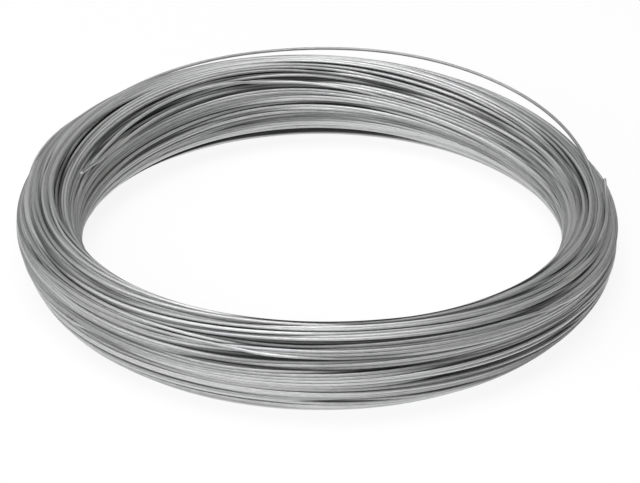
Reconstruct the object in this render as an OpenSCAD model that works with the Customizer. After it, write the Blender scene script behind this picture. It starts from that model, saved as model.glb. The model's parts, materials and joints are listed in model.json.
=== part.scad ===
// Coil of galvanized wire: one length of round wire wound into a flat ring with an open bore.
// The wound bundle is one turned solid, and each turn that shows on it is a ridge of the wire's own
// radius. One turn has sprung loose from the bundle, and both cut ends of the wire stand clear of it.
// The coil's axis is Z, and the origin is on that axis, at the level on which the coil lies.

/* [Wire] */
// Diameter of the wire
wire_d = 1.6; // [1.2:0.02:2.4]
// Height by which a turn stands out of the packed bundle
ridge_h = 0.45; // [0.35:0.05:0.55]

/* [Bundle] */
// Diameter of the bore, between the tips of the innermost turns
bore_d = 246; // [190:1:300]
// Width of the bundle from its bore to its outer side
bundle_w = 32; // [24:0.2:40]
// Height of the bundle as it lies flat
bundle_h = 47; // [36:0.2:60]
// Length of the straight wall that the winding drum left in the bore
drum_l = 14; // [8:0.2:18]
// Exponent of the section's outline: 2 is an ellipse, and less is leaner at the shoulders
fullness = 1.8; // [1.6:0.05:2.3]

/* [Winding] */
// Gap left between two turns that lie side by side
turn_gap = 0.12; // [0.06:0.02:0.3]
// Most that a turn lies deeper than its neighbours, away from the bore
unevenness = 0.35; // [0:0.05:0.5]
// Depth of the grooves in which a turn of the next layer shows
groove_depth = 1.1; // [0.8:0.1:1.4]
// Share of the turns that lie in such a groove
groove_share = 0.12; // [0:0.01:0.3]
// Pattern of the uneven turns and grooves
winding_seed = 27; // [1:1:99]

/* [Sprung turn] */
// Bearing of the middle of the sprung turn, from +X towards +Y
sprung_at = 76; // [60:1:100]
// Angle over which it is clear of the bundle
sprung_span = 106; // [90:1:128]
// Height by which it rises from the bundle
sprung_rise = 6; // [4:0.2:8]
// Distance from the middle of the bundle outwards at which it leaves and meets it again
sprung_x = 5; // [3:0.5:7]
// Angle of the length that lies hidden in the bundle at each of its ends
sprung_hidden = 14; // [10:1:20]

/* [Cut ends] */
// Bearing at which the left end leaves the bundle
left_at = 160; // [150:1:170]
// Distance of the left end from the bore side of the bundle
left_in = 3; // [2:0.5:6]
// Angle by which the left end leans up
left_lean = 18; // [14:1:24]
// Length of the left end from inside the bundle to its cut
left_l = 28; // [22:0.5:34]
// Bearing at which the right end leaves the bundle
right_at = -3; // [-10:1:10]
// Distance of the right end from the outer side of the bundle
right_in = 6.5; // [4:0.5:8]
// Angle by which the right end leans up
right_lean = 22; // [16:1:28]
// Length of the right end from inside the bundle to its cut
right_l = 16; // [13:0.5:20]
// Radius of the bend that both ends keep from the winding
end_bend_r = 120; // [90:1:160]
// Depth at which both ends start under the bundle's top, in wire diameters
end_cover = 1.6; // [1.2:0.1:2]

/* [Hidden] */

// Sides round the coil, round the wire and round one of the many turns
ring_fn = 180;
wire_fn = 16;
turn_fn = 10;
// Share of the half width or half height from which a turn counts as one of the outermost
outermost_from = 0.99;

wire_r = wire_d / 2;
mean_r = bore_d / 2 + bundle_w / 2;

// The packed bundle lies one ridge height inside the tips of its turns.
core_w = bundle_w / 2 - ridge_h;
core_h = bundle_h / 2 - ridge_h;
// Half width of the inner side before the drum flattens it, so that the flat is drum_l long
inner_w = core_w / pow(1 - pow(drum_l / 2 / core_h, fullness), 1 / fullness);

// A point of the bundle's outline at the angle t, from the middle of the section
function bulge(v) = sign(v) * pow(abs(v), 2 / fullness);
function outline(t) = [
    cos(t) > 0 ? core_w * bulge(cos(t)) : max(-core_w, inner_w * bulge(cos(t))),
    core_h * bulge(sin(t))
];
function outward(t) = let (along = outline(t + 0.5) - outline(t - 0.5)) [along.y, -along.x] / norm(along);
function on_drum(t) = outline(t).x < 0.001 - core_w;
// Height of the bundle's top over the section's middle, at the distance x outwards
function crown(x) = core_h * pow(1 - pow(abs(x) / core_w, fullness), 1 / fullness);

// Distance along the outline up to each whole degree, and the angle at which each turn lies
travel = [for (t = 0, s = 0; t <= 360; s = s + norm(outline(t + 1) - outline(t)), t = t + 1) [s, t]];
girth = travel[360][0];
turns = 2 * floor(girth / (wire_d + turn_gap) / 2);
angles = [for (i = [0 : turns - 1]) lookup(i * girth / turns, travel)];

// How far each turn lies below the outline: not at all on the drum's wall, nor where the bundle is
// widest or highest
uneven = rands(0, unevenness, turns, winding_seed);
chance = rands(0, 1, turns, winding_seed + 1);
function outermost(t) = on_drum(t) || cos(t) > outermost_from || abs(sin(t)) > outermost_from;
function sunk(i) = outermost(angles[i]) ? 0 : chance[i] < groove_share ? groove_depth : uneven[i];
seats = [for (i = [0 : turns - 1]) outline(angles[i]) - sunk(i) * outward(angles[i])];
centres = [for (i = [0 : turns - 1]) seats[i] - (wire_r - ridge_h) * outward(angles[i])];
// Height of the section's middle, so that the bundle lies on its lowest turn
mid_z = wire_r - min([for (centre = centres) centre.y]);

// Section of the wound bundle: the packed core, and the turns that stand out of it. Each turn has ten
// sides, one corner outwards, because there are so many.
module section() {
    polygon(seats);
    for (i = [0 : turns - 1])
        translate(centres[i])
            rotate([0, 0, atan2(outward(angles[i]).y, outward(angles[i]).x)])
                circle(r = wire_r, $fn = turn_fn);
}

module bundle() {
    translate([0, 0, mid_z])
        rotate_extrude($fn = ring_fn)
            translate([mean_r, 0])
                section();
}

// A length of wire in an arc about Z, from the bearing 0
module wire_arc(radius, sweep) {
    rotate_extrude(angle = sweep, $fn = ring_fn)
        translate([radius, 0])
            circle(r = wire_r, $fn = wire_fn);
}

// The turn that has sprung up: a ring of the bundle's own size, tilted so that it clears the bundle
// over sprung_span, and with both ends inside it.
module sprung_turn() {
    ring_r = mean_r + sprung_x;
    reach = cos(sprung_span / 2);
    lift = sprung_rise / (1 - reach);
    sweep = sprung_span + 2 * sprung_hidden;
    translate([0, 0, mid_z + crown(sprung_x) + ridge_h - wire_r - lift * reach])
        rotate([0, 0, sprung_at])
            rotate([0, -asin(lift / ring_r), 0])
                rotate([0, 0, -sweep / 2])
                    wire_arc(ring_r, sweep);
}

// A cut end of the wire: it starts inside the bundle at x from the middle of its section, runs on
// along the coil and leans up by the angle lean.
module cut_end(at, x, length, lean) {
    start_z = mid_z + crown(x) - end_cover * wire_d;
    rotate([0, 0, at])
        translate([mean_r + x, 0, start_z])
            rotate([lean, 0, 0])
                translate([0, 0, end_bend_r])
                    rotate([90, 0, 90])
                        rotate([0, 0, -90])
                            wire_arc(end_bend_r, length / end_bend_r * 180 / PI);
}

module wire_coil() {
    color("silver")
        union() {
            bundle();
            sprung_turn();
            cut_end(left_at, left_in - bundle_w / 2, left_l, left_lean);
            cut_end(right_at, bundle_w / 2 - right_in, right_l, right_lean);
        }
}

wire_coil();
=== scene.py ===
"""A coil of galvanized wire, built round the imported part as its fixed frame.

The bundle is one wire, laid turn by turn on a loose lattice, parted along dark lines, and settled
until the turns that show lie side by side. What shows of it is built as round wire, and the hidden
middle is one plain core. The sprung turn, the loose turns that ride over the others and both cut
ends are laid with the rest.
"""

import json
import logging
import math
from dataclasses import dataclass, field
from enum import Enum
from typing import Iterator, Sequence

import bpy
import numpy as np
from mathutils import Matrix, Vector

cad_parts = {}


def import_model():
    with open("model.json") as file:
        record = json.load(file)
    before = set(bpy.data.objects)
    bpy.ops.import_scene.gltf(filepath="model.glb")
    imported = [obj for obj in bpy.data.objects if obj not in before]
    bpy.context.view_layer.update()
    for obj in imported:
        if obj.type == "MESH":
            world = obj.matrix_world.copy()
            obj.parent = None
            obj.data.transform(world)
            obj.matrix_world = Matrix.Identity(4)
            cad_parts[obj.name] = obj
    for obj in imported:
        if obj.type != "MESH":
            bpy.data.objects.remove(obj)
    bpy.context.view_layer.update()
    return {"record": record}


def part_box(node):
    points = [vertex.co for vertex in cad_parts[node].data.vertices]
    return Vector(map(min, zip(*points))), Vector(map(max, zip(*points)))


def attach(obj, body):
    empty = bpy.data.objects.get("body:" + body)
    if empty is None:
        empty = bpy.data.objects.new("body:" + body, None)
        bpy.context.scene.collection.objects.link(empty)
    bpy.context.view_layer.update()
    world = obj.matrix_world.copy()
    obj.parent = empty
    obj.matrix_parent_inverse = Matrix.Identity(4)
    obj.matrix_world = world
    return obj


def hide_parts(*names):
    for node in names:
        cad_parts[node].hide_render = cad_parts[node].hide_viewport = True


LOG = logging.getLogger("wire_coil")

MM = 0.001
FULL_TURN = 2 * math.pi
NODE = "wire_coil"
SLOT = "galvanized_wire"


def smooth(value: np.ndarray) -> np.ndarray:
    """A ramp from 0 to 1 that starts and ends level."""
    value = np.clip(value, 0.0, 1.0)
    return value * value * (3 - 2 * value)


def wrapped(angle: np.ndarray, turn: float = 360.0) -> np.ndarray:
    """The angle without whole turns, from minus half a turn to half a turn."""
    return (angle + turn / 2) % turn - turn / 2


def fading(along: np.ndarray, steepness: float = 1.6) -> np.ndarray:
    """Full over the middle of a stretch, and nothing at its ends, where along is -1 and 1."""
    return smooth(steepness * (1 - np.abs(along)))


@dataclass(frozen=True)
class Waves:
    """A share that changes slowly round the coil, as waves of one, two and three periods a turn."""

    cos_1: float = 0.0
    sin_1: float = 0.0
    cos_2: float = 0.0
    sin_2: float = 0.0
    cos_3: float = 0.0
    sin_3: float = 0.0

    def at(self, bearing: np.ndarray) -> np.ndarray:
        """Works out one plus the share.

        Args:
            bearing: bearings round the coil.

        Returns:
            One plus the share at each of them.
        """
        waves = ((self.cos_1, self.sin_1), (self.cos_2, self.sin_2), (self.cos_3, self.sin_3))
        share = np.ones_like(bearing)
        for periods, (cos, sin) in enumerate(waves, start=1):
            share = share + cos * np.cos(periods * bearing) + sin * np.sin(periods * bearing)
        return share


@dataclass(frozen=True)
class BundleForm:
    """The bundle's outline at every bearing round the coil. A section's point is x, outwards from the
    middle line, and z, above the level that the coil lies on. A unit point is the same as shares of the
    half width and half height, from the middle of the section.

    Args:
        outer_r: radius of the coil's outer side.
        bore_r: radius of its bore.
        height: how high it is.
        fullness: exponent of the outline, in which 2 is an ellipse and less is leaner at the shoulders.
        plan: how far the coil is out of round.
        width_waves: how its width changes round it.
        height_waves: how its height changes round it.
    """

    outer_r: float
    bore_r: float
    height: float = 46.5 * MM
    fullness: float = 1.8
    plan: Waves = Waves(cos_1=-0.008, sin_1=0.003, cos_2=0.0125, sin_2=0.009)
    width_waves: Waves = Waves(
        cos_1=-0.06, sin_1=0.19, cos_2=0.02, sin_2=-0.095, cos_3=-0.042, sin_3=0.042
    )
    height_waves: Waves = Waves(cos_1=-0.084, cos_2=-0.046, sin_2=-0.018)

    @property
    def mean_half(self) -> np.ndarray:
        """Half of the bundle's width and of its height, taken all round."""
        return np.array([(self.outer_r - self.bore_r) / 2, self.height / 2])

    @property
    def unit_area(self) -> float:
        """Area of the outline whose half width and half height are 1."""
        power = 1 / self.fullness
        return 4 * math.gamma(1 + power) ** 2 / math.gamma(1 + 2 * power)

    def middle_r(self, bearing: np.ndarray) -> np.ndarray:
        """Radius of the bundle's middle line."""
        return (self.outer_r + self.bore_r) / 2 * self.plan.at(bearing)

    def half(self, bearing: np.ndarray) -> np.ndarray:
        """Half of the bundle's width and of its height at each bearing."""
        waves = [self.width_waves.at(bearing), self.height_waves.at(bearing)]
        return np.stack(waves, axis=-1) * self.mean_half

    def reach(self, unit: np.ndarray) -> np.ndarray:
        """How far out a unit point lies: 1 is on the outline."""
        power = self.fullness
        return (np.abs(unit[..., 0]) ** power + np.abs(unit[..., 1]) ** power) ** (1 / power)

    def to_unit(self, point: np.ndarray, bearing: np.ndarray) -> np.ndarray:
        """A section's points as unit points."""
        return point / self.half(bearing) - [0, 1]

    def from_unit(self, unit: np.ndarray, bearing: np.ndarray) -> np.ndarray:
        """The section's points that these unit points stand for."""
        return (unit + [0, 1]) * self.half(bearing)

    def outline(self, side: np.ndarray) -> np.ndarray:
        """The outline's unit points at angles round the section: 0 is outwards, a right angle is up."""
        direction = np.stack([np.cos(side), np.sin(side)], axis=-1)
        return direction / self.reach(direction)[..., None]

    def side(self, unit: np.ndarray) -> np.ndarray:
        """Angle round the section of unit points."""
        return np.arctan2(unit[..., 1], unit[..., 0])

    def place(self, point: np.ndarray, bearing: np.ndarray) -> np.ndarray:
        """A section's points in the row frame."""
        radius = self.middle_r(bearing) + point[..., 0]
        return np.stack([radius * np.cos(bearing), radius * np.sin(bearing), point[..., 1]], axis=-1)


@dataclass(frozen=True)
class Zone:
    """An outer part of the section: how far out it starts, and over how much it comes in fully, as shares
    of the way to the outline."""

    start: float
    over: float

    def share(self, reach: np.ndarray) -> np.ndarray:
        """How much turns that lie this far out belong to it, from 0 to 1."""
        return smooth((reach - self.start) / self.over)


@dataclass(frozen=True)
class Groove:
    """A dark line along the coil where two strands have parted. Angles are in degrees: at is the bearing
    of its middle, span the angle that it runs over, and side the angle round the section there. Width is how
    far apart its edges are pushed, and sink how deep a turn lies that runs in it. It follows the turns, but
    for its drift round the section."""

    at: float
    span: float
    side: float
    width: float = 0.9 * MM
    sink: float = 1.0 * MM
    drift: float = 0.0


@dataclass(frozen=True)
class Calm:
    """A patch where the turns lie tight, so that dark lines fade in it. Angles are in degrees: at is the
    bearing of its middle and side its angle round the section, span and reach its half lengths along the
    coil and round the section. Share is how much the lines fade."""

    at: float
    span: float
    side: float
    reach: float
    share: float = 0.85

    def fade(self, bearing: np.ndarray, side: np.ndarray) -> np.ndarray:
        """Works out how much of the lines' depth is left.

        Args:
            bearing: bearings round the coil.
            side: angles round the section there.

        Returns:
            The share that is left at each of them.
        """
        along = wrapped(np.degrees(bearing) - self.at) / self.span
        across = wrapped(np.degrees(side) - self.side) / self.reach
        return 1 - self.share * fading(np.hypot(along, across), steepness=2.0)


@dataclass(frozen=True)
class PaintedShade:
    """A stretch of painted shade, where the zinc's colour is darkened to stand for shade. Angles are in
    degrees:
    at is the bearing of its middle and side its angle round the section there, span and reach its half
    lengths along the coil and round the section, and drift how far it shifts round the section over its half
    length."""

    at: float
    span: float
    side: float
    reach: float
    dark: float = 0.5
    drift: float = 0.0

    def on(self, bearing: np.ndarray, side: np.ndarray) -> np.ndarray:
        """Works out how much shade it paints on the zinc.

        Args:
            bearing: bearings round the coil.
            side: angles round the section there.

        Returns:
            The darkness at each of them, from 0 to 1.
        """
        along = wrapped(np.degrees(bearing) - self.at) / self.span
        off = wrapped(np.degrees(side) - self.side - self.drift * along)
        return self.dark * fading(along) * np.exp(-((off / self.reach) ** 2))


@dataclass(frozen=True)
class Ride:
    """A stretch where an outer turn leaves its place and rides over its neighbours, and comes back.

    Args:
        start: bearing at which it starts, in degrees.
        span: angle that it runs over.
        side: angle round the section at its start.
        drift: how far it goes round the section.
        lift: how far it stands clear.
        early: when under 1, brings its highest point nearer its start.
        proud: how far it stands out where it has no lift, in wire diameters.
        held: how firmly it is held in its way.
    """

    start: float
    span: float
    side: float
    drift: float = 0.0
    lift: float = 0.0
    early: float = 1.0
    proud: float = 0.15
    held: float = 0.85


@dataclass(frozen=True)
class CutEnd:
    """A cut end that comes up out of the bundle and stands clear at its tip.

    Args:
        start: bearing at which it comes out, in degrees.
        span: angle from there to its tip.
        side: angle round the section where it comes out.
        drift: how far it goes round the section.
        lift: how far its tip stands clear.
        dive: angle over which it is buried before it comes out.
        proud: how far it stands out where it comes out, in wire diameters.
        buried: how much deeper it starts, in wire diameters.
        loose: how freely it moves where it is clear, from 0 to 1.
        loose_below: how much more freely it moves where it is buried.
    """

    start: float
    span: float
    side: float
    drift: float = 0.0
    lift: float = 4 * MM
    dive: float = 24.0
    proud: float = 0.2
    buried: float = 2.6
    loose: float = 0.02
    loose_below: float = 0.3


@dataclass(frozen=True)
class Sway:
    """How far the outer turns lie from their mean place round the section, in degrees: at each bearing a
    wave of one period a turn and one of three. It is full on the top, and a share of that on the sides."""

    once: float = -14.0
    thrice: float = 5.0
    on_sides: float = 0.4

    def at(self, bearing: np.ndarray, place: np.ndarray) -> np.ndarray:
        """The shift at each bearing of turns whose mean place round the section this is, as an angle."""
        shift = np.radians(self.once * np.sin(bearing) + self.thrice * np.sin(3 * bearing))
        return shift * (self.on_sides + (1 - self.on_sides) * np.maximum(np.sin(place), 0) ** 2)

    def undone(self, bearing: np.ndarray, side: np.ndarray, rounds: int = 3) -> np.ndarray:
        """Takes the sway out.

        Args:
            bearing: bearings round the coil.
            side: angles round the section at which turns lie there.
            rounds: how often the answer is worked out anew from the last one.

        Returns:
            The mean place of those turns round the section.
        """
        place = side
        for _ in range(rounds):
            place = side - self.at(bearing, place)
        return place


@dataclass
class Relief:
    """The dark lines of a winding, and the chart of how deep its surface dips there.

    Args:
        grooves: the lines.
        calms: the patches where they fade.
        sway: how the turns, and the lines with them, shift round the section.
        radius: mean radius of the section, by which angles become lengths.
        bearings: bearing of each station.
        bins: how many places the chart has round the section.
        line_w: half width of the dip at a line.
        shoulder: share of the dip that is wider.
        shoulder_w: half width of that.
        parting_w: how far from a line turns are pushed aside.
    """

    grooves: Sequence[Groove]
    calms: Sequence[Calm]
    sway: Sway
    radius: float
    bearings: np.ndarray
    bins: int = 720
    line_w: float = 1.0 * MM
    shoulder: float = 0.35
    shoulder_w: float = 2.8 * MM
    parting_w: float = 3.2 * MM

    def __post_init__(self) -> None:
        """Charts the dips at the lines."""
        side = np.arange(self.bins) * FULL_TURN / self.bins
        self.chart = np.zeros((len(self.bearings), self.bins))
        for groove in self.grooves:
            arc, strength = self.from_line(groove, side[:, None])
            narrow, wide = np.exp(-((arc / self.line_w) ** 2)), np.exp(-((arc / self.shoulder_w) ** 2))
            dip = groove.sink * strength * ((1 - self.shoulder) * narrow + self.shoulder * wide)
            self.chart = np.maximum(self.chart, dip.T)

    def from_line(self, groove: Groove, side: np.ndarray) -> tuple[np.ndarray, np.ndarray]:
        """Measures from a line at each station.

        Args:
            groove: the line.
            side: angles round the section, with the sway taken out.

        Returns:
            How far they lie from the line round the section, and how strong the line is.
        """
        along = wrapped(np.degrees(self.bearings) - groove.at)
        centre = self.sway.undone(math.radians(groove.at), math.radians(groove.side))
        centre = centre + np.radians(groove.drift) * along / groove.span
        off = wrapped(side - centre, FULL_TURN)
        return off * self.radius, fading(along / (groove.span / 2))

    def dip(self, side: np.ndarray) -> np.ndarray:
        """Reads how deep the surface dips.

        Args:
            side: angle round the section of each turn at each station.

        Returns:
            The dip at each of them.
        """
        place = self.sway.undone(self.bearings, side)
        index = (place / FULL_TURN * self.bins).astype(int) % self.bins
        return self.chart[np.arange(len(self.bearings))[None, :], index] * self.left(side, self.bearings)

    def left(self, side: np.ndarray, bearing: np.ndarray) -> np.ndarray:
        """Works out how much of the lines the calm patches leave.

        Args:
            side: angles round the section.
            bearing: bearings round the coil.

        Returns:
            The share that is left at each of them.
        """
        share = np.ones_like(side)
        for calm in self.calms:
            share = share * calm.fade(bearing, side)
        return share

    def parting(self, side: np.ndarray) -> np.ndarray:
        """Works out how far the lines push the turns aside.

        Args:
            side: angle round the section of each turn at each station.

        Returns:
            The push of each, round the section.
        """
        shift = np.zeros_like(side)
        place = self.sway.undone(self.bearings, side)
        for groove in self.grooves:
            arc, strength = self.from_line(groove, place)
            push = groove.width / 2 * np.exp(-((arc / self.parting_w) ** 2))
            shift += np.sign(arc) * push * strength
        return shift * self.left(side, self.bearings)


@dataclass(frozen=True)
class Settling:
    """How turns find their places. Most of these are shares of the way that they go in a round.

    Args:
        rounds: how many rounds they get.
        look_every: after how many rounds to look again for turns that lie near each other.
        near: how near those are, in wire diameters.
        back: toward where a turn was laid, less and less.
        held: the same for a turn that isn't free.
        stiff: toward the middle of its neighbours along the wire.
        inward: back to the outline, for a turn that lies past it.
        outward: up to the outline, for the outermost turns.
        apart: out of an overlap.
        partings: how often overlaps are looked for in a round.
        deep_size: at what share of its size a deep turn touches others.
        firm_more: how much more that share is for outer turns.
        last_smoothings: how often kinks are taken out after the last round.
    """

    rounds: int = 130
    look_every: int = 13
    near: float = 1.35
    back: float = 0.06
    held: float = 0.3
    stiff: float = 0.45
    inward: float = 0.35
    outward: float = 0.22
    apart: float = 1.5
    partings: int = 2
    deep_size: float = 0.82
    firm_more: float = 0.12
    last_smoothings: int = 2


@dataclass
class Winding:
    """The wire's path, as points of the section at each of the stations round the coil.

    Args:
        form: outline of the bundle.
        wire_d: diameter of the wire.
        turns: about how many turns to wind.
        stations: how many points a turn has.
        seed: seed of the eddies and of each turn's wander.
        outer_spacing: how far apart the outer turns are laid.
        evenness: how far slots spread, as a share of their spacing.
        swirl: how far the eddies carry turns.
        wander: how far a turn wanders on its own.
        swayed_zone: the turns that sway.
        parted_zone: the turns that dark lines part.
        firm_zone: the turns that keep nearly their full size where they touch.
        skin_zone: the outermost layer.
        settling: how they find their places.
        grooves: the dark lines.
        calms: the patches where they fade.
        rides: the turns that ride over others.
        sway: how the outer turns shift round the section.
        cut_ends: the cut ends, which get a row each after the turns.
        points: where the wire is, by row and station.
        target: where it would like to be.
        alive: where there is wire in a row.
        freedom: how freely it moves, from 0 to 1.
        skin: how much it belongs to the outermost layer, from 0 to 1.
    """

    form: BundleForm
    wire_d: float
    turns: int = 420
    stations: int = 216
    seed: int = 11
    outer_spacing: float = 1.84 * MM
    evenness: float = 1.07
    swirl: float = 1.2 * MM
    wander: float = 0.25 * MM
    swayed_zone: Zone = Zone(0.3, 0.55)
    parted_zone: Zone = Zone(0.72, 0.2)
    firm_zone: Zone = Zone(0.55, 0.2)
    skin_zone: Zone = Zone(0.905, 0.03)
    settling: Settling = Settling()
    grooves: Sequence[Groove] = ()
    calms: Sequence[Calm] = ()
    rides: Sequence[Ride] = ()
    sway: Sway = Sway()
    cut_ends: Sequence[CutEnd] = ()
    points: np.ndarray = field(default=None, repr=False)
    target: np.ndarray = field(default=None, repr=False)
    alive: np.ndarray = field(default=None, repr=False)
    freedom: np.ndarray = field(default=None, repr=False)
    skin: np.ndarray = field(default=None, repr=False)

    def __post_init__(self) -> None:
        """Charts the dark lines."""
        radius = float(self.form.mean_half.mean())
        self.relief = Relief(self.grooves, self.calms, self.sway, radius, self.bearings)

    @property
    def bearings(self) -> np.ndarray:
        """Bearing of each station."""
        return np.arange(self.stations) * FULL_TURN / self.stations

    def slots(self) -> np.ndarray:
        """Finds where the turns cross the mean section.

        Returns:
            Unit points in the order of winding: up one layer and down the next, from the bore outwards.
        """
        half = self.form.mean_half
        spacing = math.sqrt(self.form.unit_area * half[0] * half[1] / self.turns / math.sin(math.pi / 3))
        layer_gap = spacing * math.sin(math.pi / 3)
        layers = int(2 * half[0] / layer_gap)
        slots = []
        for layer in range(layers):
            x = (layer - (layers - 1) / 2) * layer_gap
            top = half[1] * (1 - abs(x / half[0]) ** self.form.fullness) ** (1 / self.form.fullness)
            count = max(1, round(2 * top / spacing))
            heights = (np.arange(count) - (count - 1) / 2) * spacing
            slots += [(x, z) for z in (heights[::-1] if layer % 2 else heights)]
        return self.evened(np.array(slots)[: self.turns], spacing)

    def evened(self, slots: np.ndarray, spacing: float, rounds: int = 80, step: float = 0.12) -> np.ndarray:
        """Spreads slots evenly, so that the outermost lie along the outline.

        Args:
            slots: points of the mean section, from its middle.
            spacing: how far apart they should lie.
            rounds: how many times to push them apart.
            step: how far to push them each time, as a share of the way that is left.

        Returns:
            The slots as unit points.
        """
        half = self.form.mean_half
        limit = 1 - self.wire_d / 2 / half[0]
        for _ in range(rounds):
            gap = slots[:, None] - slots[None]
            # Each slot counts as a metre away from itself, which is too far to push.
            distance = np.linalg.norm(gap, axis=-1) + np.eye(len(slots))
            push = np.maximum(self.evenness * spacing - distance, 0) * (distance < 1)
            slots = slots + step * (gap / distance[..., None] * push[..., None]).sum(axis=1)
            out = np.maximum(self.form.reach(slots / half) / limit, 1.0)
            slots = slots / out[:, None]
        return slots / half

    def crowded(self, unit: np.ndarray) -> np.ndarray:
        """Moves turns in or out, so that the outer ones are as close wherever the section is larger.

        Args:
            unit: unit point of each turn at each station.

        Returns:
            The moved unit points.
        """
        area = self.form.unit_area * self.form.half(self.bearings).prod(axis=-1)
        wanted = len(unit) * self.outer_spacing**2 * math.sin(math.pi / 3)
        reach = np.maximum(self.form.reach(unit), 1e-3)
        return unit * (reach ** (wanted / area - 1)[None, :])[..., None]

    def swirled(
        self,
        unit: np.ndarray,
        rng: np.random.Generator,
        steps: int = 8,
        count: int = 24,
        fineness: float = 2.6,
        periods: int = 4,
        edge: float = 0.97,
    ) -> np.ndarray:
        """Carries turns along in slow eddies that keep inside the outline, so that they cross each other
        without crowding.

        Args:
            unit: unit point of each turn at each station.
            rng: source of the eddies.
            steps: how many steps the way is cut into.
            count: how many eddies there are.
            fineness: how small they are.
            periods: how often they come round the coil at most.
            edge: how far out turns may lie, as a share of the section.

        Returns:
            The moved unit points.
        """
        bearing = self.bearings[None, :]
        power = self.form.fullness
        eddies = []
        for _ in range(count):
            across = rng.normal(size=2) * fineness
            strength = rng.normal() / max(1.0, np.linalg.norm(across))
            phase = rng.integers(-periods, periods + 1) * bearing + rng.uniform(0, FULL_TURN)
            eddies.append((across, phase, strength))
        speed = None
        for _ in range(steps):
            cover = 1 - self.form.reach(unit) ** power
            slope = -power * np.sign(unit) * np.abs(unit) ** (power - 1)
            wave, wave_slope = np.zeros(unit.shape[:2]), np.zeros_like(unit)
            for across, phase, strength in eddies:
                angle = unit @ across + phase
                wave += strength * np.cos(angle)
                wave_slope -= strength * np.sin(angle)[..., None] * across
            flow = slope * wave[..., None] + wave_slope * cover[..., None]
            move = np.stack([flow[..., 1], -flow[..., 0]], axis=-1)
            if speed is None:
                size = np.sqrt(((move * self.form.mean_half) ** 2).sum(axis=-1).mean())
                speed = self.swirl / size / steps
            unit = unit + move * speed
            unit = unit / np.maximum(self.form.reach(unit) / edge, 1.0)[..., None]
        return unit

    def parted(self, unit: np.ndarray) -> np.ndarray:
        """Parts the outer turns at the dark lines.

        Args:
            unit: unit point of each turn at each station.

        Returns:
            The shift of each.
        """
        side = self.form.side(unit)
        push = self.relief.parting(side) * self.parted_zone.share(self.form.reach(unit))
        return np.stack([-np.sin(side), np.cos(side)], axis=-1) * push[..., None]

    def wandering(self, rng: np.random.Generator, most: int = 5, falloff: float = 0.7) -> np.ndarray:
        """Lets each turn wander slowly on its own.

        Args:
            rng: source of the wander.
            most: the most periods that one of its waves has in a turn.
            falloff: how much smaller waves of more periods are, as a power.

        Returns:
            The shift of each turn at each station.
        """
        bearing = self.bearings[None, :, None]
        shift = np.zeros((self.turns, self.stations, 2))
        for periods in range(1, most + 1):
            size = rng.normal(size=(self.turns, 1, 2)) / periods**falloff
            shift += size * np.cos(periods * bearing + rng.uniform(0, FULL_TURN, size=(self.turns, 1, 2)))
        # The waves of one turn add up to about this much.
        usual = 1.3
        return shift * self.wander / usual

    def swayed(self, unit: np.ndarray) -> np.ndarray:
        """Puts the sway of the outer turns in.

        Args:
            unit: unit point of each turn at each station.

        Returns:
            The moved unit points.
        """
        reach = self.form.reach(unit)
        side = self.form.side(unit)
        angle = self.sway.at(self.bearings[None, :], side) * self.swayed_zone.share(reach)
        return self.form.outline(side + angle) * reach[..., None]

    def raise_ride(
        self, ride: Ride, taken: set[int], outermost: float = 0.93, deep_cost: float = 30.0
    ) -> None:
        """Moves one outer turn out of its place over the length of a ride.

        Args:
            ride: the ride.
            taken: turns that ride already, to which the chosen one is added.
            outermost: how far out the outermost turns lie, as a share of the section.
            deep_cost: how many millimetres a whole share deeper counts for.
        """
        station = round(ride.start / 360 * self.stations) % self.stations
        steps = round(ride.span / 360 * self.stations)
        unit = self.form.to_unit(self.target[: self.turns - 2, station], self.bearings[station])
        off = wrapped(self.form.side(unit) - math.radians(ride.side), FULL_TURN)
        # A turn that lies deeper than the outermost layer is only taken when it is much nearer.
        buried = np.maximum(outermost - self.form.reach(unit), 0)
        cost = np.abs(off) * self.form.mean_half.mean() + deep_cost * buried * MM
        for turn in np.argsort(cost):
            if not {int(turn) - 1, int(turn), int(turn) + 1} & taken:
                break
        taken.add(int(turn))
        first = int(turn) * self.stations + station
        index = slice(first, first + steps)
        line = self.target[: self.turns].reshape(-1, 2)
        bearing = np.tile(self.bearings, self.turns)[index]
        share = np.linspace(0, 1, len(bearing))
        # It leaves its place over the first quarter of its way and is back in it over the last.
        rise = smooth(4 * share) * smooth(4 * (1 - share))
        bump = np.sin(math.pi * share**ride.early) ** 2
        side = self.form.side(self.form.to_unit(line[index], bearing)) + math.radians(ride.drift) * bump
        edge = self.form.from_unit(self.form.outline(side), bearing)
        outward = edge - self.form.from_unit(np.zeros_like(edge), bearing)
        outward /= np.linalg.norm(outward, axis=-1, keepdims=True)
        riding = edge + outward * (ride.lift * bump + ride.proud * self.wire_d)[:, None]
        line[index] += (riding - line[index]) * rise[:, None]
        self.freedom[: self.turns].reshape(-1)[index] = 1 - ride.held * rise

    def cut_end_path(self, end: CutEnd) -> tuple[np.ndarray, np.ndarray, np.ndarray]:
        """Finds the way of a cut end.

        Args:
            end: the cut end.

        Returns:
            Where it should lie, at which stations it is there, and how freely it may move.
        """
        along = (np.degrees(self.bearings) - end.start + end.dive) % 360 - end.dive
        there = along <= end.span
        share = np.clip(along / end.span, 0, 1)
        side = np.radians(end.side + end.drift * share)
        edge = self.form.from_unit(self.form.outline(side), self.bearings)
        outward = edge - self.form.from_unit(np.zeros_like(edge), self.bearings)
        outward /= np.linalg.norm(outward, axis=-1, keepdims=True)
        sunk = smooth(-along / end.dive)
        clear = end.proud * self.wire_d + end.lift * share**2 - sunk * end.buried * self.wire_d
        freedom = end.loose + end.loose_below * sunk
        return edge + outward * clear[:, None], there, freedom

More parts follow.
